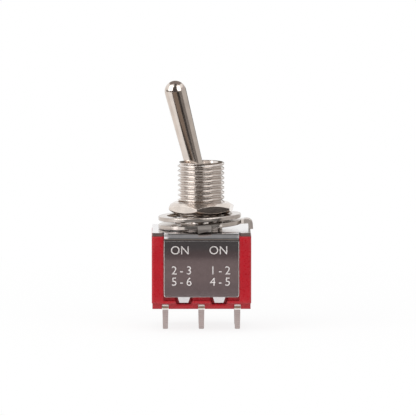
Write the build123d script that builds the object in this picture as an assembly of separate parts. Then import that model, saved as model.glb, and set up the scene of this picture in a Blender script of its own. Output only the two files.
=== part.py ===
from build123d import *
import os
from math import cos, radians, sin, tan

# A small two-pole toggle switch for a panel, on in both positions.
# Lengths are millimetres and angles are degrees. +Z points out along the
# bushing, the lever throws along X, and the stamped front faces -Y.
# The origin is on the bushing's axis at the nut's top face, where a panel seats.

# Fits
seat_gap = 0.01  # between faces that rest on each other
running_gap = 0.03  # round what turns
sliding_gap = 0.05  # round what slides
slot_gap = 0.05  # round metal in a moulded slot

# Terminals, stamped strip with a bent head
terminal_pitch = 4.72  # along X, outer to common
row_offset = 2.4  # along Y, from the middle to each pole
strip_thickness = 0.85
strip_width = 1.6
shoulder_drop = 0.2  # how far the wide strip shows under the case
leg_top_thickness = 0.78
leg_tip_thickness = 0.68
leg_top_width = 1.3
leg_tip_width = 1.1
leg_length = 2.9  # from the case's underside to the tip
leg_point = 0.085  # chamfer round the tip
pad_length = 1.45  # the bent head of an outer terminal, along X
pad_thickness = 0.5
pad_round = 0.25  # outside of the head's bend
cradle_length = 1.9  # the common terminal's head, along X
cradle_height = 1.1

# Contacts and rockers
button_radius = 0.55
button_height = 0.3
button_round = 0.1
rivet_radius = 0.28
button_inset = 0.845  # a contact's axis from its terminal's outer face
contact_gap = 0.02  # left where a rocker's end meets its button
rocker_width = 1.6
rocker_thickness = 0.35
rocker_round = 0.4  # corners of its ends, seen from above
rocker_overhang = 0.5  # past the contact
rocker_dish = 8.0  # each arm rises this much from the middle
rocker_tilt = 7.0  # the rocker's angle when the lever is thrown
knuckle_radius = 0.5
cradle_drop = 0.15  # the cradle's top below the fulcrum
fulcrum_drop = 5.65  # the rockers' hinge axis below the plate's top

# Case, moulded in one piece
end_room = 0.355  # outer terminal's head to the end wall
end_wall = 1.0
side_room = 1.5  # terminal's head to the side wall
side_wall = 0.82
floor_room = 0.45  # cradle to floor
floor_thickness = 1.95
lip_height = 0.37
lip_round = 0.14
base_height = 0.75  # the block under the lip
base_inset = 0.08
base_setback = 0.7
rib_thickness = 0.7
rib_gap = 0.4  # under the actuator's bar
well_margin = 0.32  # round each terminal, under the case
well_depth = 1.0
seal_depth = 0.4
case_corner = 0.2

# Frame, folded from one sheet
sheet = 0.45
plate_inset = 0.07  # from the case's sides
flap_width = 9.8
flap_corner = 0.3
flap_gap = 0.5  # flap's lower edge to the case's lip
bend_radius = 1.1  # outside of the fold
bend_relief = 0.18
tab_spacing = 4.6
tab_root = 1.64
tab_tip = 1.14
tab_length = 0.92
tab_angle = 32.0  # turned in under the case
tab_notch = 0.38  # room beside a tab
lip_corner = 0.28  # round each end of the lip at a notch

# Bushing, turned and threaded
thread_radius = 3.1
bushing_height = 8.8  # above the plate
bushing_chamfer = 0.22
spigot_radius = 2.6
stake_radius = 3.3
stake_height = 0.3
keyway_width = 1.2
keyway_depth = 0.4
mouth_gap = 0.25  # round the lever at the bushing's mouth
neck_height = 1.5  # above the pivot
neck_gap = 0.12
seat_foot = 1.0  # the ball's bore runs this far below the pivot

# Lever and its pin
pivot_height = 4.7  # above the plate
lever_tilt = 14.2  # each side of upright
lever_reach = 15.22  # pivot to tip
tip_radius = 1.42
tip_swell = 1.6  # the end swells over this length, under the round tip
shaft_radius = 1.377  # where the swell begins
shaft_taper = 1.39  # the angle of the side, narrowing to the ball
ball_radius = 1.9
stem_radius = 0.95
stem_stop = 0.3  # the stem's end above the plate
stem_bore = 0.67
spring_seat = 1.3  # the bore's blind end below the pivot
pin_radius = 0.4
pin_proud = 0.4  # each end past the ball
pin_chamfer = 0.08

# Spring and actuator
wire_radius = 0.09
spring_turns = 4.5
actuator_travel = 0.35  # into the lever
post_engagement = 1.5
bar_height = 1.0
bar_half = 0.8
bar_round = 0.16
bar_room = 0.12  # over the bar when it is pushed in
foot_width = 1.4
foot_radius = 0.6
foot_gap = 0.08  # foot to rocker with the lever upright

# Locating ring, with a key inside and two tabs outside
ring_radius = 5.5
ring_thickness = 0.58
ring_tilt = 3.7  # it stands on its bent tab
ring_shift = 0.15  # it hangs off centre, towards -X
ring_room = 0.06
key_width = 0.85
key_gap = 0.15
ring_tab_width = 2.2
ring_tab_reach = 6.9  # outer face of the bent tab
ring_tab_bend = 0.7
lug_width = 1.75
lug_reach = 6.1
lug_drop = 0.72  # below the ring's middle
lug_bend = 0.62
lug_angle = -84.5  # about Z, from +X
lug_shear = 11.0  # its end is cut on the slant, longer towards -X
rim_round = 0.14  # the outer edges of ring and washer

# Lock washer with twisted inner teeth
washer_radius = 5.45
washer_thickness = 0.56
washer_tilt = 2.2
washer_shift = 0.2
washer_room = 0.05
rim_width = 1.15
tooth_bite = 0.38  # a tooth's root reaches this far into the rim
tooth_trim = 0.11  # the tips are cut back this far, to the bore
tooth_count = 10
tooth_root_width = 1.5
tooth_tip_width = 0.9
tooth_twist = 18.0
tooth_dip = 0.12  # the tips sit this far below the rim's middle

# Hexagon nut
nut_flats = 8.0
nut_thickness = 1.45
nut_turn = 22.7  # a corner's angle from +X
nut_chamfer = 30.0
nut_face_radius = 3.57
nut_bore_radius = 2.87  # near the thread's root
nut_room = 0.02
thread_start = 0.1  # the full thread radius starts this far inside the nut

# The nut's countersink clears the full thread where it starts
nut_countersink = thread_radius + nut_room - nut_bore_radius + thread_start

# Heights above the plate's top, worked up through the washers
ring_middle = ring_radius * sin(radians(ring_tilt)) + ring_thickness / 2 * cos(radians(ring_tilt)) + seat_gap
tooth_reach = (
    tooth_tip_width / 2 * sin(radians(tooth_twist)) + washer_thickness / 2 * cos(radians(tooth_twist))
)
rim_inner = washer_radius - rim_width
washer_middle = (
    ring_middle
    + rim_inner * (tan(radians(ring_tilt)) - tan(radians(washer_tilt)))
    + ring_thickness / 2 / cos(radians(ring_tilt))
    + tooth_reach
    + tooth_dip
    + seat_gap
)
tooth_top = max(tooth_reach - tooth_dip, washer_thickness / 2)
nut_foot = washer_middle + rim_inner * sin(radians(washer_tilt)) + tooth_top + seat_gap

# Along X, from the middle
pad_outer = terminal_pitch + strip_thickness / 2
contact_reach = pad_outer - button_inset

# Heights in the part's own frame
plate_top = -(nut_foot + nut_thickness)
bushing_top = plate_top + bushing_height
pivot_z = plate_top + pivot_height
case_top = plate_top - sheet - seat_gap
fulcrum_z = plate_top - fulcrum_drop
cradle_top = fulcrum_z - cradle_drop
floor_z = cradle_top - cradle_height - floor_room
case_foot = floor_z - floor_thickness
base_foot = case_foot - base_height
leg_foot = base_foot - leg_length
flap_foot = case_foot + lip_height + flap_gap
rest_slope = rocker_dish - rocker_tilt
button_top = fulcrum_z + contact_reach * tan(radians(rest_slope)) - contact_gap
pad_top = button_top - button_height

# Plan sizes
cavity_half_x = pad_outer + end_room
case_half_x = cavity_half_x + end_wall
cavity_half_y = row_offset + strip_width / 2 + side_room
core_half_y = cavity_half_y + side_wall
case_half_y = core_half_y + sheet + seat_gap
plate_half_x = case_half_x - plate_inset

# Distances along the lever, from its pivot
lean = radians(lever_tilt)
tip_centre = lever_reach - tip_radius
swell_start = tip_centre - tip_swell
stem_length = pivot_height - stem_stop
foot_centre = pivot_height + fulcrum_drop - rocker_thickness - foot_gap - foot_radius
bar_top = (
    pivot_height + sheet + stake_height + 2 * seat_gap + bar_half * sin(lean) + bar_room
) / cos(lean) + actuator_travel
bar_foot = bar_top + bar_height
post_top = stem_length - post_engagement
rib_top = pivot_z - bar_foot - rib_gap

sides = {"left": -1, "right": 1}
rows = {"front": -1, "rear": 1}


def shaft_at(distance):
    """The lever's radius at a distance above its pivot: it narrows evenly."""
    return shaft_radius - (swell_start - distance) * tan(radians(shaft_taper))


def swept(distance, radius, gap):
    """The room from the bushing's axis that a leaning round part needs at a height."""
    return distance * tan(lean) + radius / cos(lean) + gap


def block(x0, x1, y0, y1, z0, z1):
    """A box between two corners."""
    centre = Pos((x0 + x1) / 2, (y0 + y1) / 2, (z0 + z1) / 2)
    return centre * Box(abs(x1 - x0), abs(y1 - y0), abs(z1 - z0))


def disc(radius, z0, z1):
    """A cylinder on Z between two heights."""
    return Pos(0, 0, (z0 + z1) / 2) * Cylinder(radius, z1 - z0)


def turned(*corners):
    """A solid turned about Z from (radius, height) corners."""
    outline = Polyline(*[(r, 0, z) for r, z in corners], close=True)
    return revolve(make_face(outline), Axis.Z)


def rounded_block(half_x, half_y, foot, top, radius):
    """A block centred on Z, with the top edges along X rounded."""
    body = block(-half_x, half_x, -half_y, half_y, foot, top)
    return fillet(body.edges().filter_by(Axis.X).group_by(Axis.Z)[-1], radius)


def folded_sheet(width, half_y, foot, top, thickness, radius):
    """A strip folded down at both ends of Y, as an outer rounded block less the inner one."""
    outer = rounded_block(width / 2, half_y, foot, top, radius)
    inner = rounded_block(width, half_y - thickness, foot - thickness, top - thickness, radius - thickness)
    return outer - inner


def on_lever(shape):
    """Places a shape that was built upright with the pivot at the origin."""
    return Pos(0, 0, pivot_z) * Rot(0, -lever_tilt, 0) * shape


def frame():
    """The folded bracket: a top plate, two flaps and the tabs that hold the case."""
    body = folded_sheet(flap_width, case_half_y, flap_foot, plate_top, sheet, bend_radius)
    body = fillet(body.edges().filter_by(Axis.Y).group_by(Axis.Z)[0], flap_corner)
    wing_in = flap_width / 2 + bend_relief
    straight = case_half_y - bend_radius
    for side in sides.values():
        body += block(side * wing_in, side * plate_half_x, -case_half_y, case_half_y, plate_top - sheet, plate_top)
        body += block(0, side * plate_half_x, -straight, straight, plate_top - sheet, plate_top)
        for row in rows.values():
            body += Pos(side * tab_spacing / 2, row * case_half_y, flap_foot) * frame_tab(row)
    return body - disc(spigot_radius + seat_gap, plate_top - 2 * sheet, plate_top + sheet)


def frame_tab(row):
    """A tapered tab under a flap, turned in about the flap's outer edge."""
    width, tip = tab_root / 2, tab_tip / 2
    outline = Polyline((-width, 0, 0), (width, 0, 0), (tip, 0, -tab_length), (-tip, 0, -tab_length), close=True)
    return Rot(-row * tab_angle, 0, 0) * extrude(make_face(outline), amount=sheet, dir=(0, -row, 0))


def bushing():
    """The threaded bushing with its mouth, ball seat, pin grooves, keyway and staked foot."""
    foot = plate_top - sheet - 2 * seat_gap - stake_height
    mouth = swept(bushing_height - pivot_height, shaft_at(bushing_height - pivot_height), mouth_gap)
    body = turned(
        (0, foot), (stake_radius, foot), (stake_radius, foot + stake_height),
        (spigot_radius, foot + stake_height), (spigot_radius, plate_top + seat_gap),
        (nut_bore_radius - nut_room, plate_top + seat_gap), (nut_bore_radius - nut_room, -thread_start),
        (thread_radius, -thread_start), (thread_radius, bushing_top - bushing_chamfer),
        (thread_radius - bushing_chamfer, bushing_top), (0, bushing_top),
    )
    neck = swept(neck_height, shaft_at(neck_height), neck_gap)
    stem = max(swept(stem_length, stem_radius, sliding_gap),
               swept(pivot_z - foot, stem_bore - sliding_gap, sliding_gap))
    seat = ball_radius + sliding_gap
    bore = turned(
        (0, foot - sheet), (stem, foot - sheet), (stem, pivot_z - stem_length), (seat, pivot_z - seat_foot),
        (seat, pivot_z), (neck, pivot_z + neck_height), (mouth, bushing_top), (mouth, bushing_top + sheet),
        (0, bushing_top + sheet),
    )
    groove_half = ball_radius + pin_proud + running_gap
    width = pin_radius + running_gap
    grooves = block(-width, width, -groove_half, groove_half, foot - sheet, pivot_z)
    grooves += Pos(0, 0, pivot_z) * Rot(90, 0, 0) * Cylinder(width, 2 * groove_half)
    keyway = block(thread_radius - keyway_depth, 2 * thread_radius, -keyway_width / 2, keyway_width / 2,
                   plate_top + seat_gap, bushing_top + sheet)
    return body - bore - grooves - keyway


def hex_nut():
    """The nut: a hexagon cut by a cone from each face, so its flats are lens shaped."""
    outer = nut_flats / 2 / cos(radians(30))
    prism = extrude(Rot(0, 0, nut_turn) * RegularPolygon(outer, 6), amount=-nut_thickness)
    slope = (outer - nut_face_radius) * tan(radians(nut_chamfer))
    fall = min(slope, nut_thickness / 2 - seat_gap)
    reach = nut_face_radius + fall / tan(radians(nut_chamfer))
    cones = turned((0, 0), (nut_face_radius, 0), (reach, -fall), (reach, fall - nut_thickness),
                   (nut_face_radius, -nut_thickness), (0, -nut_thickness))
    mouth = nut_bore_radius + nut_countersink
    bore = turned((0, 0), (mouth, 0), (nut_bore_radius, -nut_countersink),
                  (nut_bore_radius, nut_countersink - nut_thickness), (mouth, -nut_thickness), (0, -nut_thickness))
    return prism & cones - bore


def lock_washer():
    """The washer: a rim whose inner teeth twist to their tips."""
    inner = thread_radius + washer_shift + washer_room
    body = Cylinder(washer_radius, washer_thickness) - Cylinder(rim_inner, washer_thickness)
    rims = body.edges().filter_by(GeomType.CIRCLE).group_by(SortBy.RADIUS)[-1]
    body = fillet(rims, rim_round)
    for i in range(tooth_count):
        body += Rot(0, 0, (i + 0.5) * 360 / tooth_count) * washer_tooth(inner)
    body -= Cylinder(inner, 4 * washer_thickness)
    return Pos(-washer_shift, 0, plate_top + washer_middle) * Rot(0, -washer_tilt, 0) * body


def washer_tooth(inner):
    """One tooth along +X, from a flat root inside the rim to a tip turned about its own length."""
    twist = radians(tooth_twist)
    root = Plane((rim_inner + tooth_bite, 0, 0), x_dir=(0, 1, 0), z_dir=(1, 0, 0))
    tip = Plane((inner - tooth_trim, 0, -tooth_dip), x_dir=(0, cos(twist), sin(twist)), z_dir=(1, 0, 0))
    flat = root * Rectangle(tooth_root_width, washer_thickness - 2 * seat_gap)
    turned_tip = tip * Rectangle(tooth_tip_width, washer_thickness)
    return loft([flat, turned_tip], ruled=True)


def locating_ring():
    """The keyed ring, tilted because its bent tab stands on the plate."""
    hole = thread_radius + ring_shift + ring_room
    body = Cylinder(ring_radius, ring_thickness) - Cylinder(hole, ring_thickness)
    rims = body.edges().filter_by(GeomType.CIRCLE).group_by(SortBy.RADIUS)[-1]
    body = fillet(rims, rim_round)
    half = ring_thickness / 2
    key_tip = thread_radius - keyway_depth + key_gap + ring_shift
    body += block(key_tip, hole + half, -key_width / 2, key_width / 2, -half, half)
    inside = ring_tab_reach - ring_thickness
    drop = (ring_middle + inside * sin(radians(ring_tilt)) - seat_gap) / cos(radians(ring_tilt))
    body += Rot(0, 0, -90) * bent_tab(ring_tab_width, ring_tab_reach, drop, ring_tab_bend)
    lug = bent_tab(lug_width, lug_reach, lug_drop, lug_bend)
    waste = Pos(lug_width / 2, 0, -lug_drop) * Rot(0, lug_shear, 0) * block(
        -2 * lug_width, lug_width, ring_radius, lug_reach + half, -lug_drop, 0)
    body += Rot(0, 0, lug_angle - 90) * (lug - waste)
    return Pos(-ring_shift, 0, plate_top + ring_middle) * Rot(0, -ring_tilt, 0) * body


def bent_tab(width, reach, drop, radius):
    """A tab that leaves the ring along +Y and is bent down at its reach."""
    half = ring_thickness / 2
    both = folded_sheet(width, reach, -drop, half, ring_thickness, radius)
    return both & block(-width, width, ring_radius - half, reach + half, -drop, half)


def case():
    """The moulded case: walls, floor, ledges, rib, flap recesses, tab notches and terminal wells."""
    body = block(-case_half_x, case_half_x, -case_half_y, case_half_y, case_foot, case_top)
    body = fillet(body.edges().filter_by(Axis.Z), case_corner)
    body -= flap_recess()
    body = fillet(body.edges().filter_by_position(Axis.Z, case_foot - seat_gap, case_foot + seat_gap), lip_round)
    body += block(base_inset - case_half_x, case_half_x - base_inset, base_setback - case_half_y,
                  case_half_y - base_setback, base_foot, case_foot + lip_height)
    body -= block(-cavity_half_x, cavity_half_x, -cavity_half_y, cavity_half_y, floor_z, case_top + sheet)
    body += block(-cavity_half_x, cavity_half_x, -rib_thickness / 2, rib_thickness / 2, floor_z, rib_top)
    ledge = pad_top - pad_thickness - seat_gap
    for side in sides.values():
        body += block(side * (pad_outer - pad_length), side * cavity_half_x, -cavity_half_y, cavity_half_y,
                      floor_z - sheet, ledge)
    body += block(-cradle_length / 2, cradle_length / 2, -cavity_half_y, cavity_half_y,
                  floor_z - sheet, cradle_top - cradle_height - seat_gap)
    for x in (-terminal_pitch, 0, terminal_pitch):
        for row in rows.values():
            body -= Pos(x, row * row_offset, 0) * terminal_well(row)
    for side in sides.values():
        for row in rows.values():
            body -= Pos(side * tab_spacing / 2, row * case_half_y, 0) * tab_room(row)
    lip_top = case_foot + lip_height
    ends = body.edges().filter_by(Axis.Y).filter_by_position(Axis.Z, lip_top - seat_gap, lip_top + seat_gap)
    ends = ends.filter_by_position(Axis.X, -tab_spacing, tab_spacing)
    return fillet([e for e in ends if abs(e.center().Y) > case_half_y - base_setback], lip_corner)


def flap_recess():
    """What the frame's fold takes out of the case: the outside of a round-topped core."""
    half_x = flap_width / 2 + slot_gap
    core = rounded_block(case_half_x, core_half_y, case_foot, case_top, bend_radius - sheet - seat_gap)
    bite = block(-half_x, half_x, -2 * case_half_y, 2 * case_half_y, case_foot + lip_height, case_top + sheet)
    return bite - core


def tab_room(row):
    """The notch through the case's lip that a turned-in tab passes."""
    top, foot = tab_root / 2 + tab_notch, tab_tip / 2 + tab_notch
    depth = tab_length * sin(radians(tab_angle)) + sheet + 2 * slot_gap
    lift = flap_foot + sheet * tan(radians(tab_angle / 2)) + slot_gap
    fall = flap_foot - tab_length - slot_gap
    outline = Polyline((-top, 0, lift), (top, 0, lift), (foot, 0, fall), (-foot, 0, fall), close=True)
    return extrude(make_face(outline), amount=depth, dir=(0, -row, 0)) + extrude(
        make_face(outline), amount=sheet, dir=(0, row, 0))


def terminal_well(row):
    """The slot for a terminal, the well round its foot, and the channel to the case's face."""
    half_x, half_y = strip_thickness / 2 + slot_gap, strip_width / 2 + slot_gap
    slot = block(-half_x, half_x, -half_y, half_y, base_foot - sheet, fulcrum_z)
    wide_x, wide_y = half_x + well_margin, half_y + well_margin
    well = block(-wide_x, wide_x, -wide_y, wide_y, base_foot - sheet, base_foot + well_depth)
    face = case_half_y - row_offset
    width = strip_thickness / 2 + seat_gap
    channel = block(-width, width, 0, row * face, base_foot - sheet, base_foot + well_depth - seal_depth)
    return slot + well + channel


def outer_terminal():
    """A terminal whose head is bent over to carry a contact button, with +X the outer side."""
    half, wide = strip_thickness / 2, strip_width / 2
    shift = pad_outer - half
    head = block(pad_outer - pad_length - shift, half, -wide, wide, pad_top - pad_thickness, pad_top)
    body = terminal_strip(pad_top) + head
    bend = body.edges().filter_by(Axis.Y).group_by(Axis.Z)[-1].sort_by(Axis.X)[-1]
    body = fillet(bend, pad_round)
    return body - Pos(contact_reach - shift, 0, 0) * disc(rivet_radius + seat_gap, pad_top - sheet * 2, pad_top + sheet)


def common_terminal():
    """The middle terminal, whose head is the cradle that a rocker sits in."""
    head = block(-cradle_length / 2, cradle_length / 2, -strip_width / 2, strip_width / 2,
                 cradle_top - cradle_height, cradle_top)
    groove = Pos(0, 0, fulcrum_z) * Rot(90, 0, 0) * Cylinder(knuckle_radius + running_gap, 2 * strip_width)
    return terminal_strip(cradle_top - cradle_height / 2) + head - groove


def terminal_strip(top):
    """The straight strip of a terminal, with its narrower tapered leg."""
    shoulder = base_foot - shoulder_drop
    strip = block(-strip_thickness / 2, strip_thickness / 2, -strip_width / 2, strip_width / 2, shoulder, top)
    upper = Pos(0, 0, shoulder) * Rectangle(leg_top_thickness, leg_top_width)
    lower = Pos(0, 0, leg_foot) * Rectangle(leg_tip_thickness, leg_tip_width)
    leg = loft([upper, lower], ruled=True)
    tips = leg.edges().group_by(Axis.Z)[0]
    return strip + chamfer(tips, leg_point)


def terminal_seal():
    """The potting round one terminal, in the bottom of its well."""
    half_x, half_y = strip_thickness / 2 + slot_gap + well_margin, strip_width / 2 + slot_gap + well_margin
    top = base_foot + well_depth - seat_gap
    pour = block(-half_x + seat_gap, half_x - seat_gap, -half_y + seat_gap, half_y - seat_gap,
                 top - seal_depth, top)
    strip = block(-strip_thickness / 2 - seat_gap, strip_thickness / 2 + seat_gap,
                  -strip_width / 2 - seat_gap, strip_width / 2 + seat_gap, top - sheet * 2, top + sheet)
    return pour - strip


def contact_button():
    """A riveted contact with a softened edge and a shank through the terminal's head."""
    head = disc(button_radius, pad_top + seat_gap, button_top)
    top = head.edges().filter_by(GeomType.CIRCLE).group_by(Axis.Z)[-1]
    head = fillet(top, button_round)
    return head + disc(rivet_radius, pad_top - pad_thickness, pad_top + button_height / 2)


def rocker():
    """A rocker built level on its hinge axis: two rising arms and the knuckle under them."""
    reach = contact_reach + rocker_overhang
    rise = reach * tan(radians(rocker_dish))
    outline = Polyline((0, 0, 0), (reach, 0, rise), (reach, 0, rise + rocker_thickness), (0, 0, rocker_thickness),
                       (-reach, 0, rise + rocker_thickness), (-reach, 0, rise), close=True)
    blade = extrude(make_face(outline), amount=rocker_width / 2, both=True)
    corners = blade.edges().filter_by(Axis.Z)
    blade = fillet(corners, rocker_round)
    bar = Rot(90, 0, 0) * Cylinder(knuckle_radius, rocker_width)
    upper = block(-reach, reach, -rocker_width, rocker_width, rocker_thickness / 2, reach)
    return blade + (bar - upper)


def lever():
    """The turned lever: swollen tip, tapered shaft, ball and hollow stem."""
    neck = shaft_at(neck_height)
    ball_meets = (ball_radius ** 2 - neck ** 2) ** 0.5
    stem_meets = (ball_radius ** 2 - stem_radius ** 2) ** 0.5
    belly = (ball_radius, 0, 0)
    swell = Spline((shaft_radius, 0, swell_start), (tip_radius, 0, tip_centre),
                   tangents=[(sin(radians(shaft_taper)), 0, cos(radians(shaft_taper))), (0, 0, 1)])
    side = (tip_radius * sin(radians(45)), 0, tip_centre + tip_radius * cos(radians(45)))
    outline = (
        ThreePointArc((0, 0, lever_reach), side, (tip_radius, 0, tip_centre))
        + swell
        + Polyline((shaft_radius, 0, swell_start), (shaft_at(ball_meets), 0, ball_meets), (neck, 0, ball_meets))
        + ThreePointArc((neck, 0, ball_meets), belly, (stem_radius, 0, -stem_meets))
        + Polyline((stem_radius, 0, -stem_meets), (stem_radius, 0, -stem_length), (stem_bore, 0, -stem_length),
                   (stem_bore, 0, -spring_seat), (0, 0, -spring_seat), (0, 0, lever_reach))
    )
    body = revolve(make_face(outline), Axis.Z)
    hole = Rot(90, 0, 0) * Cylinder(pin_radius + seat_gap, 3 * ball_radius)
    return on_lever(body - hole)


def pivot_pin():
    """The cross pin through the lever's ball, which turns in the bushing's grooves."""
    pin = Rot(90, 0, 0) * Cylinder(pin_radius, 2 * (ball_radius + pin_proud))
    ends = pin.edges().filter_by(GeomType.CIRCLE)
    return on_lever(chamfer(ends, pin_chamfer))


def lever_spring():
    """The coil spring in the lever's stem."""
    length = post_top - spring_seat - 2 * wire_radius - 2 * seat_gap
    coil_radius = stem_bore - sliding_gap - wire_radius
    path = Helix(length / spring_turns, length, coil_radius)
    start = Plane(origin=path @ 0, z_dir=path % 0)
    coil = sweep(start * Circle(wire_radius), path=path)
    return on_lever(Pos(0, 0, -post_top + wire_radius + seat_gap) * coil)


def actuator():
    """The moulded actuator: a post that slides in the lever, a bar and a foot for each rocker."""
    post = disc(stem_bore - sliding_gap, -bar_top - bar_height / 2, -post_top)
    reach = row_offset + foot_width / 2
    bar = block(-bar_half, bar_half, -reach, reach, -bar_foot, -bar_top)
    bar = fillet(bar.edges().filter_by(Axis.Y), bar_round)
    body = post + bar
    for row in rows.values():
        near, far = row * (row_offset - foot_width / 2), row * reach
        body += block(-foot_radius, foot_radius, near, far, -foot_centre, -bar_foot + bar_height / 2)
        body += Pos(0, row * row_offset, -foot_centre) * Rot(90, 0, 0) * Cylinder(foot_radius, foot_width)
    return on_lever(body)


def nodes():
    """Every piece by name, in its place."""
    pieces = {
        "frame": frame(),
        "bushing": bushing(),
        "locating_ring": locating_ring(),
        "lock_washer": lock_washer(),
        "hex_nut": hex_nut(),
        "case": case(),
        "lever": lever(),
        "pivot_pin": pivot_pin(),
        "lever_spring": lever_spring(),
        "actuator": actuator(),
    }
    seals = []
    for row_name, row in rows.items():
        y = row * row_offset
        pieces[f"rocker_{row_name}"] = Pos(0, y, fulcrum_z) * Rot(0, rocker_tilt, 0) * rocker()
        pieces[f"terminal_{row_name}_common"] = Pos(0, y, 0) * common_terminal()
        for side_name, side in sides.items():
            turn = Rot(0, 0, 0 if side > 0 else 180)
            x = side * (pad_outer - strip_thickness / 2)
            pieces[f"terminal_{row_name}_{side_name}"] = Pos(x, y, 0) * turn * outer_terminal()
            pieces[f"contact_{row_name}_{side_name}"] = Pos(side * contact_reach, y, 0) * contact_button()
        seals += [Pos(x, y, 0) * terminal_seal() for x in (-terminal_pitch, 0, terminal_pitch)]
    pieces["terminal_seals"] = Compound(children=[seal.solid() for seal in seals])
    return pieces


os.makedirs("parts", exist_ok=True)
for name, piece in nodes().items():
    export_step(piece, f"parts/{name}.step")
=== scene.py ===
"""The look of a small two-pole toggle switch, built round its CAD pieces.

Lengths are millimetres in the makers below and metres in the meshes. The frame
is the switch's own: +Z out along the bushing, the lever throws along X, and the
stamped front faces -Y.
"""

import bmesh
import bpy
import numpy as np
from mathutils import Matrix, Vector


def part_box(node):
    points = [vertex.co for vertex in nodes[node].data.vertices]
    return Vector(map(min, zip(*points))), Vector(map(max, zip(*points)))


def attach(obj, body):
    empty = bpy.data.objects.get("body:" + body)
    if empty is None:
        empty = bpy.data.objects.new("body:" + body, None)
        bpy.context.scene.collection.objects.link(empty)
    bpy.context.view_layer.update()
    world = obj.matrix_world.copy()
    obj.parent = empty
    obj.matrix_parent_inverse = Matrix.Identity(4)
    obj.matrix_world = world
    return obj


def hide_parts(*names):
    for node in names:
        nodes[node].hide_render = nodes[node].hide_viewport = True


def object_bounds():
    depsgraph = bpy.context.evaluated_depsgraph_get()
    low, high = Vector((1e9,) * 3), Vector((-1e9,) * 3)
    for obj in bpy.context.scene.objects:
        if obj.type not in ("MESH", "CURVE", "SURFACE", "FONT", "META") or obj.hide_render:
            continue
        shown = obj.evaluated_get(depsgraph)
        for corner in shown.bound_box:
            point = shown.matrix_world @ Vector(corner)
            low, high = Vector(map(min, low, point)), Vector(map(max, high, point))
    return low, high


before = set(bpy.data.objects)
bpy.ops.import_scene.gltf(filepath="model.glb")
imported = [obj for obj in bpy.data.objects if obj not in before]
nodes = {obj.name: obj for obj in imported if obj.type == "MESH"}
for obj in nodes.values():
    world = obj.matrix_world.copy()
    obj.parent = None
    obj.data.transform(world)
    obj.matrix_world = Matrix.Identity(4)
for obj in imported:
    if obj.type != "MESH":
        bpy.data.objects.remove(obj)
cad_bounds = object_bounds()
MM = 0.001
PLATE_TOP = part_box("frame")[1].z / MM  # the frame's upper face
TIPS = cad_bounds[0][2] / MM  # the lower ends of the terminals


def surface(name, points, closed_u=True, closed_v=True):
    """Skins a grid of points, in millimetres, with quads.

    Neighbours along u and v make each quad, and a closed direction joins its
    last row to its first. u crossed with v points out of the piece.
    """
    nu, nv = points.shape[:2]
    i = np.arange(nu if closed_u else nu - 1)
    j = np.arange(nv if closed_v else nv - 1)
    i, j = np.meshgrid(i, j, indexing="ij")
    k, m = (i + 1) % nu, (j + 1) % nv
    quads = np.stack([i * nv + j, k * nv + j, k * nv + m, i * nv + m], axis=-1).reshape(-1, 4)
    mesh = bpy.data.meshes.new(name)
    mesh.vertices.add(nu * nv)
    mesh.vertices.foreach_set("co", (points.reshape(-1, 3) * MM).ravel())
    mesh.loops.add(quads.size)
    mesh.loops.foreach_set("vertex_index", quads.ravel())
    mesh.polygons.add(len(quads))
    mesh.polygons.foreach_set("loop_start", np.arange(0, quads.size, 4))
    mesh.update(calc_edges=True)
    mesh.validate()
    piece = bpy.data.objects.new(name, mesh)
    bpy.context.collection.objects.link(piece)
    return piece


def smooth_below(piece, angle):
    """Shades a piece smooth, except across edges sharper than the angle in degrees."""
    piece.data.shade_smooth()
    piece.data.set_sharp_from_angle(angle=np.radians(angle))


# The bushing and its thread
PITCH = 0.635
THREAD_RADIUS, ROOT_RADIUS = 3.10, 2.72
GRIPPED_RADIUS = 2.85  # the thread inside the nut and the washer
GRIPPED_TOP = -0.1
SPIGOT_RADIUS, STAKE_RADIUS, STAKE_HEIGHT = 2.60, 3.30, 0.30
KEYWAY_HALF, KEYWAY_FLOOR = 0.6, 2.7
KEYWAY_WALL = 0.2  # degrees over which each side of the keyway falls
PIVOT_DEPTH = 4.10  # the ball's centre under the mouth
RIM_OUTER, RIM_INNER = 2.83, 2.57
RIM_CONE = 2.88  # radius of the cone that trims the thread, at the mouth's height
MOUTH_RADIUS, NECK_RADIUS, SEAT_RADIUS, STEM_RADIUS = 2.505, 1.652, 1.95, 2.143
MOUTH_ROUND, MOUTH_LIP = 0.02, 0.07  # half the width of the mouth's soft edge, and its depth
NECK_RISE, SEAT_DROP, STEM_DROP = 1.5, 1.0, 4.4  # the bore's corners, from the ball's centre
GROOVE_HALF, GROOVE_END = 0.43, 2.33  # the pin's grooves in the bore
GROOVE_TOP = 0.2  # above the ball's centre
TURN_STEPS = 193  # points round the bushing
HAIR = 0.01  # keeps the thread's ends off the plate and the mouth
LEAST_COSINE = 0.5  # bounds the formulas of the keyway and the grooves elsewhere
# One pitch of the thread from a crest: shares of the pitch, and shares of the depth
THREAD_STEPS = np.array([0.0, 0.06, 0.11, 0.27, 0.43, 0.50, 0.57, 0.73, 0.89, 0.94])
THREAD_RISE = np.array([1.0, 0.96, 0.87, 0.44, 0.03, 0.0, 0.03, 0.44, 0.87, 0.96])


def convert(piece, kind):
    """Turns one piece into a mesh or a curve, with nothing else selected."""
    bpy.ops.object.select_all(action="DESELECT")
    bpy.context.view_layer.objects.active = piece
    piece.select_set(True)
    bpy.ops.object.convert(target=kind)


def merge_doubles(piece):
    """Joins points that share a place, which closes a seam and drops squashed faces."""
    shell = bmesh.new()
    shell.from_mesh(piece.data)
    bmesh.ops.remove_doubles(shell, verts=shell.verts, dist=1e-7)
    bmesh.ops.dissolve_degenerate(shell, edges=shell.edges, dist=1e-8)
    shell.to_mesh(piece.data)
    shell.free()


def all_round(path, angle):
    """A path of (radius, height) corners repeated at every angle: its radii and its heights."""
    return np.broadcast_to(np.array(path).T[:, None], (2, len(angle), len(path)))


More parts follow.
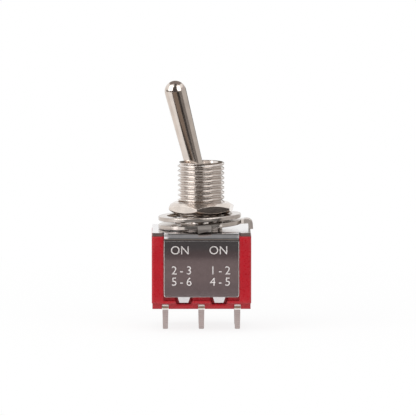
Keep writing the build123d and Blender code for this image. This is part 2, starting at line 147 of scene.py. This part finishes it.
def threaded_bushing():
    """The bushing as one closed skin, lathed from a path up its outside and down its bore.

    The thread's rows climb with the angle: z = row + pitch x angle / one turn, held
    between the foot and the rim, and radius = root + depth x the section's rise. The
    radius is then limited by the rim's cone, by the nut's grip and, near +X, by the
    keyway's flat floor at x = floor. In the bore it grows to the end of the pin's
    grooves near +Y and -Y.
    """
    low, high = (corner.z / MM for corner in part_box("bushing"))
    edge = np.degrees(np.arcsin(KEYWAY_HALF / THREAD_RADIUS))
    angle = np.radians(np.unique(np.concatenate([
        np.linspace(0, 360, TURN_STEPS),
        [edge, edge + KEYWAY_WALL, 360 - edge, 360 - edge - KEYWAY_WALL]])))
    spigot_top = low + STAKE_HEIGHT
    pivot = high - PIVOT_DEPTH
    foot = [
        (STEM_RADIUS, low), (STAKE_RADIUS, low),
        (STAKE_RADIUS, spigot_top), (SPIGOT_RADIUS, spigot_top),
        (SPIGOT_RADIUS, PLATE_TOP + HAIR),
    ]
    rim = [(RIM_OUTER, high), (RIM_INNER, high)]
    bore = [
        (MOUTH_RADIUS + MOUTH_ROUND, high - MOUTH_ROUND),
        (MOUTH_RADIUS - MOUTH_ROUND, high - MOUTH_LIP),
        (NECK_RADIUS, pivot + NECK_RISE), (SEAT_RADIUS, pivot),
        (SEAT_RADIUS, pivot - SEAT_DROP), (STEM_RADIUS, pivot - STEM_DROP),
    ]
    turns = int(np.ceil((high - PLATE_TOP) / PITCH)) + 2
    crest = PLATE_TOP - 1.5 * PITCH
    rows = (crest + PITCH * (np.arange(turns)[:, None] + THREAD_STEPS)).ravel()
    rise = np.tile(THREAD_RISE, turns)

    # One row for each angle, with the whole path along it
    climb = rows + PITCH * angle[:, None] / (2 * np.pi)
    z = np.clip(climb, PLATE_TOP + 2 * HAIR, high - HAIR)
    r = np.broadcast_to(ROOT_RADIUS + (THREAD_RADIUS - ROOT_RADIUS) * rise, z.shape)
    r = np.minimum(r, RIM_CONE + high - z)
    r = np.where(z < GRIPPED_TOP, np.minimum(r, GRIPPED_RADIUS), r)
    below_r, below_z = all_round(foot, angle)
    above_r, above_z = all_round(rim + bore, angle)
    r = np.concatenate([below_r, r, above_r], axis=1)
    z = np.concatenate([below_z, z, above_z], axis=1)
    a = np.broadcast_to(angle[:, None], z.shape)
    cosine, sine = np.cos(a), np.abs(np.sin(a))

    # The keyway runs from the foot's last corner to the rim's first
    on_thread = np.zeros(z.shape[1], bool)
    on_thread[len(foot) - 1:len(foot) + len(rows) + 1] = True
    in_key = (sine * THREAD_RADIUS < KEYWAY_HALF + 0.001) & (cosine > 0) & on_thread
    r = np.where(in_key, np.minimum(r, KEYWAY_FLOOR / np.maximum(cosine, LEAST_COSINE)), r)

    # The grooves run from the neck to the path's start
    in_bore = np.zeros(z.shape[1], bool)
    in_bore[-4:] = in_bore[0] = True
    in_groove = (np.abs(r * cosine) < GROOVE_HALF) & in_bore & (z < pivot + GROOVE_TOP)
    r = np.where(in_groove, np.maximum(r, GROOVE_END / np.maximum(sine, LEAST_COSINE)), r)
    points = np.stack([r * cosine, r * np.sin(a), z], axis=-1)
    piece = surface("bushing_thread", points, closed_u=False)
    merge_doubles(piece)
    smooth_below(piece, 50)
    return piece


# The stamped front
LETTER_HEIGHT = 1.09
CAPITAL_SHARE = 0.70  # a capital's height, as a share of the font's size
STAMP_DEPTH = 0.02
FRONT_Y = -5.98  # the outer face of the frame's front
FRONT_GAP = 0.002  # between that face and the stamped skin
SKIN_HALF, SKIN_TOP, SKIN_CORNER = 4.85, -1.10, 0.26  # the skin's outline, under the plate's top
CORNER_BEND = 0.3  # how far a corner's middle point is drawn in, as a share of the corner
FLAP_FOOT = -8.38  # the front's lower edge, from the plate's top
STROKE_STEPS = 6  # points to each curve of a character
# Words, x of the middle, depth of the middle under the plate's top, x spread.
# Under each ON stand the terminals that are joined with the lever there.
STAMPS = (
    ("ON", -2.80, 2.24, 2.52), ("ON", 2.24, 2.24, 2.52),
    ("2-3", -2.60, 4.88, 2.9), ("1-2", 2.45, 4.88, 2.9),
    ("5-6", -2.60, 6.36, 2.9), ("4-5", 2.45, 6.36, 2.9),
)


def glyph_outlines(words, middle, depth, spread):
    """The outlines of a row of stamped characters, each point with a handle on both sides.

    Each character is set at an even step, so that the row is as wide as its spread.
    """
    loops = []
    scale = LETTER_HEIGHT / CAPITAL_SHARE
    foot = -depth - LETTER_HEIGHT / 2
    step = spread / len(words)
    for place, character in enumerate(words):
        data = bpy.data.curves.new(f"glyph_{character}", "FONT")
        data.body = character
        data.align_x = "CENTER"
        glyph = bpy.data.objects.new(f"glyph_{character}", data)
        bpy.context.collection.objects.link(glyph)
        convert(glyph, "CURVE")
        x = middle - spread / 2 + step * (place + 0.5)
        for spline in glyph.data.splines:
            threes = [(b.handle_left, b.co, b.handle_right) for b in spline.bezier_points]
            loops.append(
                [[(p.x * scale + x, p.y * scale + foot) for p in three] for three in threes])
        bpy.data.objects.remove(glyph)
    return loops


def stamped_front():
    """A thin skin on the frame's front, pierced by the stamped characters.

    It is a flat outline with the characters' outlines as holes, filled between
    them, and as thick as the stamping is deep. The lighter metal of the strokes
    is the frame itself, seen through the holes.
    """
    data = bpy.data.curves.new("stamped_front", "CURVE")
    data.dimensions = "2D"
    data.fill_mode = "BOTH"
    data.extrude = STAMP_DEPTH / 2 * MM
    data.resolution_u = STROKE_STEPS
    bend, corner = SKIN_CORNER * CORNER_BEND, SKIN_CORNER
    border = [
        (-SKIN_HALF, SKIN_TOP), (SKIN_HALF, SKIN_TOP), (SKIN_HALF, FLAP_FOOT + corner),
        (SKIN_HALF - bend, FLAP_FOOT + bend), (SKIN_HALF - corner, FLAP_FOOT),
        (corner - SKIN_HALF, FLAP_FOOT), (bend - SKIN_HALF, FLAP_FOOT + bend),
        (-SKIN_HALF, FLAP_FOOT + corner),
    ]
    spline = data.splines.new("POLY")
    spline.points.add(len(border) - 1)
    for p, (x, y) in zip(spline.points, border):
        p.co = (x * MM, y * MM, 0, 1)
    spline.use_cyclic_u = True
    for stamp in STAMPS:
        for loop in glyph_outlines(*stamp):
            spline = data.splines.new("BEZIER")
            spline.bezier_points.add(len(loop) - 1)
            for p, three in zip(spline.bezier_points, loop):
                p.handle_left_type = p.handle_right_type = "FREE"
                p.handle_left, p.co, p.handle_right = ((x * MM, y * MM, 0) for x, y in three)
            spline.use_cyclic_u = True
    flat = bpy.data.objects.new("stamped_front", data)
    bpy.context.collection.objects.link(flat)
    convert(flat, "MESH")
    mesh = flat.data
    co = np.empty(len(mesh.vertices) * 3)
    mesh.vertices.foreach_get("co", co)
    x, y, out = co.reshape(-1, 3).T
    middle = FRONT_Y - STAMP_DEPTH / 2 - FRONT_GAP
    stood = np.stack([x, middle * MM - out, y + PLATE_TOP * MM], axis=-1)
    mesh.vertices.foreach_set("co", stood.ravel())
    mesh.update()
    return flat


# Finishes
SHEET = 0.45  # the frame's thickness
WING_START = 4.95  # the plate's wings begin here, from the middle
SHEARED = 5.68  # past this radius the locating ring's tab begins
STRIP_BANDS = 4.0  # the terminals' bands of colour (painted highlights and a painted shade line) fill this height above their tips


def linear(r, g, b):
    """A colour read off as 0 to 255, made linear."""
    c = np.array([r, g, b]) / 255
    return tuple(float(v) for v in np.where(c < 0.04045, c / 12.92, ((c + 0.055) / 1.055) ** 2.4))


class Finish:
    """A material with one Principled shader, and short calls that feed its sockets."""

    def __init__(self, name, **sockets):
        self.material = bpy.data.materials.new(name)
        self.material.use_nodes = True
        self.tree = self.material.node_tree
        self.shader = self.tree.nodes["Principled BSDF"]
        for socket, value in sockets.items():
            self.shader.inputs[socket].default_value = value
        self.normal = None

    def node(self, kind, **settings):
        """Adds a node. A setting is a socket's value where the node has such a socket."""
        made = self.tree.nodes.new(kind)
        for key, value in settings.items():
            if key in made.inputs:
                made.inputs[key].default_value = value
            else:
                setattr(made, key, value)
        return made

    def link(self, a, b):
        """Joins an output to an input."""
        self.tree.links.new(a, b)

    def place(self, stretch=(1, 1, 1)):
        """Object coordinates, squeezed or stretched along each axis."""
        where = self.node("ShaderNodeTexCoord")
        mapped = self.node("ShaderNodeMapping")
        mapped.inputs["Scale"].default_value = stretch
        self.link(where.outputs["Object"], mapped.inputs["Vector"])
        return mapped.outputs["Vector"]

    def grain(self, scale, detail):
        """A noise of so many grains to the metre."""
        noise = self.node("ShaderNodeTexNoise", Scale=scale, Detail=detail)
        self.link(self.place(), noise.inputs["Vector"])
        return noise.outputs["Fac"]

    def ramp(self, factor, stops):
        """A colour ramp with (position, colour) stops."""
        made = self.node("ShaderNodeValToRGB")
        while len(made.color_ramp.elements) < len(stops):
            made.color_ramp.elements.new(0.5)
        for element, (position, colour) in zip(made.color_ramp.elements, stops):
            element.position = position
            element.color = (*colour, 1)
        self.link(factor, made.inputs["Fac"])
        return made.outputs["Color"]

    def mottle(self, scale, detail, first, second):
        """Two colours, read off as 0 to 255, that run into each other in fine patches."""
        stops = [(0.3, linear(*first)), (0.7, linear(*second))]
        return self.ramp(self.grain(scale, detail), stops)

    def tint(self, colour):
        """Gives the shader its colour."""
        self.link(colour, self.shader.inputs["Base Color"])

    def span(self, factor, low, high, start=0.0, end=1.0):
        """A number between low and high, as the factor goes from start to end."""
        made = self.node("ShaderNodeMapRange")
        made.inputs["From Min"].default_value = start
        made.inputs["From Max"].default_value = end
        made.inputs["To Min"].default_value = low
        made.inputs["To Max"].default_value = high
        self.link(factor, made.inputs["Value"])
        return made.outputs["Result"]

    def polish(self, factor, low, high):
        """Roughness between two values, led by a factor."""
        self.link(self.span(factor, low, high), self.shader.inputs["Roughness"])

    def along(self, axis):
        """The place along an axis, in metres."""
        parts = self.node("ShaderNodeSeparateXYZ")
        self.link(self.place(), parts.inputs[0])
        return parts.outputs[axis]

    def beyond(self, axis, start, end):
        """Zero before the start and one past the end, in millimetres along an axis."""
        return self.span(self.along(axis), 0.0, 1.0, start * MM, end * MM)

    def both(self, first, second):
        """One factor times another."""
        made = self.node("ShaderNodeMath", operation="MULTIPLY")
        self.link(first, made.inputs[0])
        self.link(second, made.inputs[1])
        return made.outputs[0]

    def outside(self, axis, reach):
        """One further than this from the middle along an axis, in millimetres, and else zero."""
        away = self.node("ShaderNodeMath", operation="ABSOLUTE")
        self.link(self.along(axis), away.inputs[0])
        return self.span(away.outputs[0], 0.0, 1.0, reach * MM, (reach + 0.01) * MM)

    def blend(self, factor, first, second):
        """A mix of two colours or two numbers."""
        colours = not isinstance(second, (int, float))
        made = self.node("ShaderNodeMix", data_type="RGBA" if colours else "FLOAT")
        kind = made.inputs[6:8] if colours else made.inputs[2:4]
        self.link(factor, made.inputs[0])
        for socket, value in zip(kind, (first, second)):
            if isinstance(value, bpy.types.NodeSocket):
                self.link(value, socket)
            else:
                socket.default_value = value
        return made.outputs[2 if colours else 0]

    def soften(self, radius):
        """Edges catch the light as if rounded to a radius in millimetres."""
        bevel = self.node("ShaderNodeBevel", samples=6, Radius=radius * MM)
        self.normal = bevel.outputs["Normal"]
        self.link(self.normal, self.shader.inputs["Normal"])

    def dent(self, height, depth):
        """A fine relief, so many millimetres deep."""
        bump = self.node("ShaderNodeBump", Strength=1.0, Distance=depth * MM)
        self.link(height, bump.inputs["Height"])
        if self.normal:
            self.link(self.normal, bump.inputs["Normal"])
        self.normal = bump.outputs["Normal"]
        self.link(self.normal, self.shader.inputs["Normal"])


def nickel(name, colour, low, high, edge=0.05):
    """Bright nickel plate with a faint uneven polish, its edges rounded to a radius."""
    finish = Finish(name, Metallic=1.0)
    finish.tint(finish.mottle(900, 4, colour, [c * 0.94 for c in colour]))
    finish.polish(finish.grain(2600, 5), low, high)
    if edge:
        finish.soften(edge)
    finish.dent(finish.grain(5200, 4), 0.002)
    return finish.material


def ring_steel():
    """Bright plated strip. The tab was sheared and bent, and so it is rougher."""
    finish = Finish("bright_steel", Metallic=1.0)
    finish.tint(finish.mottle(900, 4, (208, 199, 192), (196, 187, 180)))
    away = finish.node("ShaderNodeVectorMath", operation="LENGTH")
    finish.link(finish.place((1, 1, 0)), away.inputs[0])
    tab = finish.span(away.outputs["Value"], 0.0, 1.0, SHEARED * MM, (SHEARED + 0.02) * MM)
    rough = finish.blend(tab, finish.span(finish.grain(2600, 5), 0.14, 0.24), 0.42)
    finish.link(rough, finish.shader.inputs["Roughness"])
    finish.soften(0.05)
    finish.dent(finish.grain(5200, 4), 0.002)
    return finish.material


def frame_steel(bared):
    """Plated sheet. Where it is bared, its front has pale stamped strokes and brown cut edges."""
    finish = Finish("frame_steel_bared" if bared else "frame_steel", Metallic=1.0)
    colour = finish.mottle(1500, 6, (217, 214, 215), (227, 224, 225))
    rough = finish.span(finish.grain(5000, 5), 0.12, 0.20)
    if bared:
        # The front face itself, and not what is a thousandth of a millimetre behind it
        front = finish.beyond("Y", FRONT_Y + 0.001, FRONT_Y + 0.0005)
        above = finish.beyond("Z", PLATE_TOP - SHEET - 0.01, PLATE_TOP - SHEET)
        wing = finish.both(front, finish.both(above, finish.outside("X", WING_START)))
        flap = finish.beyond("Z", PLATE_TOP + FLAP_FOOT, PLATE_TOP + FLAP_FOOT + 0.01)
        bare = finish.blend(flap, (*linear(208, 202, 201), 1), (*linear(255, 253, 252), 1))
        colour = finish.blend(front, colour, bare)
        colour = finish.blend(wing, colour, (*linear(152, 134, 131), 1))
        rough = finish.blend(front, rough, finish.blend(flap, 0.6, 0.9))
    finish.tint(colour)
    finish.link(rough, finish.shader.inputs["Roughness"])
    if bared:
        finish.soften(0.05)
    finish.dent(finish.grain(9000, 4), 0.002)
    return finish.material


def red_moulding():
    """Semi-gloss red moulding."""
    finish = Finish("red_moulding", Metallic=0.0, IOR=1.55)
    finish.tint(finish.mottle(700, 3, (183, 10, 30), (174, 8, 27)))
    finish.polish(finish.grain(2400, 4), 0.22, 0.34)
    finish.soften(0.45)
    finish.dent(finish.grain(9000, 3), 0.003)
    return finish.material


def terminal_plating():
    """Tinned strip with a satin leg, and painted light at the shoulder: painted highlights above
    and under a painted brown shade line.

    The bands lie on a ramp over the height, from the tips up.
    """
    finish = Finish("terminal_plating", Metallic=0.7)
    up = finish.beyond("Z", TIPS, TIPS + STRIP_BANDS)
    leg, brown, painted_highlight = linear(191, 178, 175), linear(150, 117, 90), linear(250, 246, 240)
    # The ramp paints light on the strip: painted highlights at the shoulder and at the leg's top,
    # with a painted brown shade line between them
    finish.tint(finish.ramp(up, [
        (0.0, leg), (0.62, leg), (0.64, painted_highlight), (0.695, painted_highlight),
        (0.70, brown), (0.745, brown), (0.755, painted_highlight), (1.0, painted_highlight)]))
    finish.polish(finish.grain(2600, 4), 0.28, 0.42)
    finish.soften(0.05)
    wave = finish.node(
        "ShaderNodeTexWave", wave_type="BANDS", bands_direction="Z",
        Scale=1150, Distortion=3.0, Detail=2.0)
    finish.link(finish.place(), wave.inputs["Vector"])
    finish.dent(wave.outputs["Fac"], 0.010)
    return finish.material


def plain(name, colour, metallic, roughness):
    """A plain finish for the sealed inner pieces."""
    finish = Finish(name, Metallic=metallic)
    finish.tint(finish.mottle(1800, 3, colour, [c * 0.92 for c in colour]))
    finish.polish(finish.grain(2400, 3), roughness * 0.8, roughness * 1.2)
    finish.soften(0.03)
    return finish.material


def dress(pieces, material):
    """Gives pieces one material each, in place of what they came with."""
    for piece in pieces:
        piece.data.materials.clear()
        piece.data.materials.append(material)


# The studio
CARD_STEPS = 24, 16  # points of a curved card, round and up
SURROUND = 0.5  # strength of the even light from all round
FLOOR_HALF = 900.0  # half the floor's side
FLOOR_GREY = 0.9
FLOOR_DROP = 0.02  # from the terminals' tips
SHADOW_NEAR, SHADOW_FAR = 30, 90  # the floor's shadow fades between these distances
SHADOW_WHITE = 0.86  # the share of white in the floor near the switch
PHOTO_SIDE = 416  # the photograph's side in pixels
PIXELS_PER_MM = 7.61
CAMERA_AWAY, CAMERA_RISE, CAMERA_TURN = 800.0, 5.5, -0.4  # the last two in degrees
CAMERA_TARGET = 0.89, 0, -0.80
SENSOR = 36  # width of the camera's sensor


def shade_card(name, azimuths, heights, shade, radius=60.0):
    """A card for the metal to mirror: part of a ball round the switch.

    A point is radius x (sin azimuth x cos height, -cos azimuth x cos height,
    sin height), with azimuth 0 at the camera and growing to its right.
    """
    round_steps, up_steps = CARD_STEPS
    azimuth = np.radians(np.linspace(*azimuths, round_steps))
    height = np.radians(np.linspace(*heights, up_steps))
    a, e = np.meshgrid(azimuth, height, indexing="ij")
    points = radius * np.stack([np.sin(a) * np.cos(e), -np.cos(a) * np.cos(e), np.sin(e)], axis=-1)
    return stand_card(surface(name, points, False, False), shade)


def stand_card(card, shade):
    """Gives a card its shade and hides it from all but mirrored rays."""
    material = bpy.data.materials.new(card.name)
    material.use_nodes = True
    material.cycles.emission_sampling = "NONE"
    tree = material.node_tree
    tree.nodes.clear()
    glow = tree.nodes.new("ShaderNodeEmission")
    glow.inputs["Color"].default_value = (*shade, 1)
    out = tree.nodes.new("ShaderNodeOutputMaterial")
    tree.links.new(glow.outputs[0], out.inputs[0])
    card.data.materials.append(material)
    card.visible_camera = card.visible_diffuse = False
    card.visible_shadow = card.visible_transmission = False
    return card


def near_card(name, across, heights, shade, away=-13.0):
    """A flat upright card close in front of the switch, or behind it."""
    x, z = np.meshgrid(across, heights, indexing="ij")
    points = np.stack([x, np.full_like(x, away, dtype=float), z], axis=-1)
    return stand_card(surface(name, points, False, False), shade)


def level_sheet(name, across, depths, height):
    """A flat level sheet."""
    x, y = np.meshgrid(across, depths, indexing="ij")
    points = np.stack([x, y, np.full_like(x, height, dtype=float)], axis=-1)
    return surface(name, points, False, False)


def level_card(name, across, depths, height, shade):
    """A flat level card."""
    return stand_card(level_sheet(name, across, depths, height), shade)


def corner_card(name, left, right, shade):
    """A card with its corners where they are given, on each side the near one first."""
    return stand_card(surface(name, np.array([left, right], float), False, False), shade)


def lamp(name, place, size, power, glints=True):
    """A soft lamp turned to the switch. Without glints, metal doesn't mirror it."""
    data = bpy.data.lights.new(name, "AREA")
    data.shape = "RECTANGLE"
    data.energy = power
    data.size, data.size_y = size[0] * MM, size[1] * MM
    made = bpy.data.objects.new(name, data)
    made.location = Vector(place) * MM
    made.rotation_euler = (-made.location).to_track_quat("-Z", "Y").to_euler()
    made.visible_glossy = glints
    bpy.context.collection.objects.link(made)


def seen_or_mirrored(tree):
    """One for a ray from the camera, a mirroring surface or a clear one, and else zero."""
    path = tree.nodes.new("ShaderNodeLightPath")
    seen = path.outputs["Is Camera Ray"]
    for kind in ("Is Glossy Ray", "Is Transmission Ray"):
        either = tree.nodes.new("ShaderNodeMath")
        either.operation = "MAXIMUM"
        tree.links.new(seen, either.inputs[0])
        tree.links.new(path.outputs[kind], either.inputs[1])
        seen = either.outputs[0]
    return seen


def backdrop():
    """White behind the switch, and a plain level of light all round it."""
    world = bpy.data.worlds.new("studio")
    bpy.context.scene.world = world
    world.use_nodes = True
    tree = world.node_tree
    tree.nodes.clear()
    light, white = (tree.nodes.new("ShaderNodeBackground") for _ in range(2))
    for made, strength in ((light, SURROUND), (white, 1.0)):
        made.inputs["Color"].default_value = (1, 1, 1, 1)
        made.inputs["Strength"].default_value = strength
    mix = tree.nodes.new("ShaderNodeMixShader")
    out = tree.nodes.new("ShaderNodeOutputWorld")
    link = tree.links.new
    link(seen_or_mirrored(tree), mix.inputs["Fac"])
    link(light.outputs[0], mix.inputs[1])
    link(white.outputs[0], mix.inputs[2])
    link(mix.outputs[0], out.inputs[0])


def floor():
    """A pale floor at the terminals' tips. It looks white, with a shadow near the switch."""
    reach = (-FLOOR_HALF, FLOOR_HALF)
    ground = level_sheet("floor", reach, reach, TIPS - FLOOR_DROP)
    material = bpy.data.materials.new("floor")
    material.use_nodes = True
    tree = material.node_tree
    shade = tree.nodes["Principled BSDF"]
    shade.inputs["Base Color"].default_value = (FLOOR_GREY, FLOOR_GREY, FLOOR_GREY, 1)
    shade.inputs["Roughness"].default_value = 1.0
    shade.inputs["Specular IOR Level"].default_value = 0.0
    white = tree.nodes.new("ShaderNodeEmission")
    share = tree.nodes.new("ShaderNodeMath")
    share.operation = "MULTIPLY"
    mix = tree.nodes.new("ShaderNodeMixShader")
    link = tree.links.new
    where = tree.nodes.new("ShaderNodeTexCoord")
    away = tree.nodes.new("ShaderNodeVectorMath")
    away.operation = "LENGTH"
    fade = tree.nodes.new("ShaderNodeMapRange")
    fade.inputs["From Min"].default_value = SHADOW_NEAR * MM
    fade.inputs["From Max"].default_value = SHADOW_FAR * MM
    fade.inputs["To Min"].default_value = SHADOW_WHITE
    link(where.outputs["Object"], away.inputs[0])
    link(away.outputs["Value"], fade.inputs["Value"])
    link(fade.outputs["Result"], share.inputs[1])
    link(seen_or_mirrored(tree), share.inputs[0])
    link(share.outputs[0], mix.inputs["Fac"])
    link(shade.outputs[0], mix.inputs[1])
    link(white.outputs[0], mix.inputs[2])
    link(mix.outputs[0], tree.nodes["Material Output"].inputs["Surface"])
    ground.data.materials.append(material)
    return ground


def camera():
    """A long lens a little above the plate's level, framed as the photograph is."""
    data = bpy.data.cameras.new("camera")
    made = bpy.data.objects.new("camera", data)
    bpy.context.collection.objects.link(made)
    rise, turn = np.radians(CAMERA_RISE), np.radians(CAMERA_TURN)
    data.sensor_width = SENSOR
    data.lens = SENSOR * CAMERA_AWAY / (PHOTO_SIDE / PIXELS_PER_MM)
    data.clip_start, data.clip_end = 0.01, 10
    away = Vector((np.sin(turn) * np.cos(rise), -np.cos(turn) * np.cos(rise), np.sin(rise)))
    made.location = Vector(CAMERA_TARGET) * MM + away * CAMERA_AWAY * MM
    made.rotation_euler = (-away).to_track_quat("-Z", "Y").to_euler()
    bpy.context.scene.camera = made


# Dressing the pieces
terminals = [nodes[n] for n in nodes if n.startswith("terminal_") and n != "terminal_seals"]
contacts = [nodes[n] for n in nodes if n.startswith("contact_")]
rockers = [nodes[n] for n in nodes if n.startswith("rocker_")]
dress([nodes["hex_nut"], nodes["lever"]], nickel("nickel", (228, 217, 208), 0.10, 0.20))
dress([nodes["locating_ring"], nodes["lock_washer"]], ring_steel())
dress([nodes["frame"]], frame_steel(bared=True))
dress([nodes["case"]], red_moulding())
dress(terminals, terminal_plating())
dress(contacts, plain("contact_silver", (225, 222, 218), 1.0, 0.2))
dress(rockers, plain("rocker_brass", (200, 160, 90), 1.0, 0.3))
dress([nodes["pivot_pin"]], plain("pin_steel", (190, 190, 190), 1.0, 0.25))
dress([nodes["lever_spring"]], plain("spring_steel", (150, 150, 152), 1.0, 0.3))
dress([nodes["actuator"]], plain("nylon", (228, 222, 208), 0.0, 0.5))
dress([nodes["terminal_seals"]], plain("epoxy", (58, 40, 34), 0.0, 0.3))

thread = threaded_bushing()
dress([thread], nickel("thread_nickel", (224, 216, 210), 0.14, 0.20, edge=0))
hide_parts("bushing")
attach(thread, "body")

front = stamped_front()
dress([front], frame_steel(bared=False))
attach(front, "body")

# What the metal mirrors
flap_brown = (0.205, 0.158, 0.155)
flap_low_brown = (0.180, 0.139, 0.139)
fold_grey = (0.30, 0.30, 0.30)
fold_span = (-4.4, 4.9)
cards = [
    shade_card("lever_card_edge", (-40, -33), (-9, 24), (0.10, 0.08, 0.08)),
    shade_card("lever_card", (-33, 9), (-9, 24), (0.25, 0.20, 0.165)),
    shade_card("lever_dark_card", (9, 33), (1.5, 24), (0.04, 0.038, 0.036)),
    shade_card("lever_grey_card", (33, 66), (1.5, 24), (0.20, 0.185, 0.175)),
    near_card("tip_card", (-11.6, 1.3), (14.8, 36), (0.08, 0.07, 0.07)),
    corner_card(
        "tip_card_above", [(-6.6, -0.5, 18.5), (-6.4, 6.9, 18.5)],
        [(-1.0, -1.4, 18.5), (0.6, 6.9, 18.5)], (0.28, 0.245, 0.235)),
    level_card("tip_card_between", (-4.15, -2.5), (-9, -0.5), 18.5, (0.10, 0.09, 0.085)),
    shade_card("tip_line_card", (-112, -42), (12, 20.5), (0.06, 0.05, 0.04)),
    shade_card("tip_right_card", (66, 150), (26, 42), (0.58, 0.54, 0.54), 70),
    shade_card("left_card", (-150, -84), (-14, 26), (0.88, 0.85, 0.83), 70),
    shade_card("right_card", (9, 150), (-25, 26), (0.58, 0.56, 0.54), 70),
    near_card("flap_card", (-10, 10), (-10.8, -7.6), flap_brown),
    near_card("flap_low_card", (-10, 10), (-13.4, -10.8), flap_low_brown),
    near_card("flap_top_card", (-8, 8), (-7.6, -6.5), (0.100, 0.075, 0.075)),
    near_card("fold_card", (-6, 6), (-6.5, -3.0), (0.075, 0.069, 0.069)),
    near_card("bend_low_card", fold_span, (-3.78, -2.91), (0.13, 0.13, 0.13), -7.36),
    near_card("bend_card", fold_span, (-2.91, -2.04), fold_grey, -7.36),
    level_card("bend_card_above", fold_span, (-7.36, -6.3), -2.04, fold_grey),
    level_card("bend_card_over", fold_span, (-6.3, -5.55), -2.4, fold_grey),
    level_card("bend_dark_card", fold_span, (-5.55, -4.8), -2.4, (0.14, 0.135, 0.13)),
    near_card("thread_card", (-30, 4), (-5, 1.7), (0.03, 0.025, 0.02), -30),
    corner_card(
        "thread_card_above", [(-6.6, -9.3, 3.5), (-1.4, -3.3, 5.2)],
        [(1.2, -9.3, 3.5), (0.3, -3.3, 5.2)], (0.13, 0.112, 0.098)),
    near_card("nut_card", (7.0, 18), (-5.6, -0.9), (0.062, 0.056, 0.054), -12.9),
    near_card("rear_flap_card", (-10, 10), (-13.4, -6.3), flap_low_brown, 13),
    near_card("rear_lever_card", (-4.3, 4.3), (2.5, 16), (0.14, 0.12, 0.10), 8),
    near_card("tongue_card", (4.9, 6.3), (-3.5, -2.4), (1.3, 1.3, 1.3), -6.6),
]
floor()
backdrop()
lamp("left_box", (-353, -220, 270), (430, 560), 1.45)
lamp("right_box", (253, -281, 315), (330, 420), 0.6)
lamp("top_box", (0, 60, 420), (260, 260), 0.45, glints=False)
camera()

bpy.context.scene.view_settings.view_transform = "Standard"
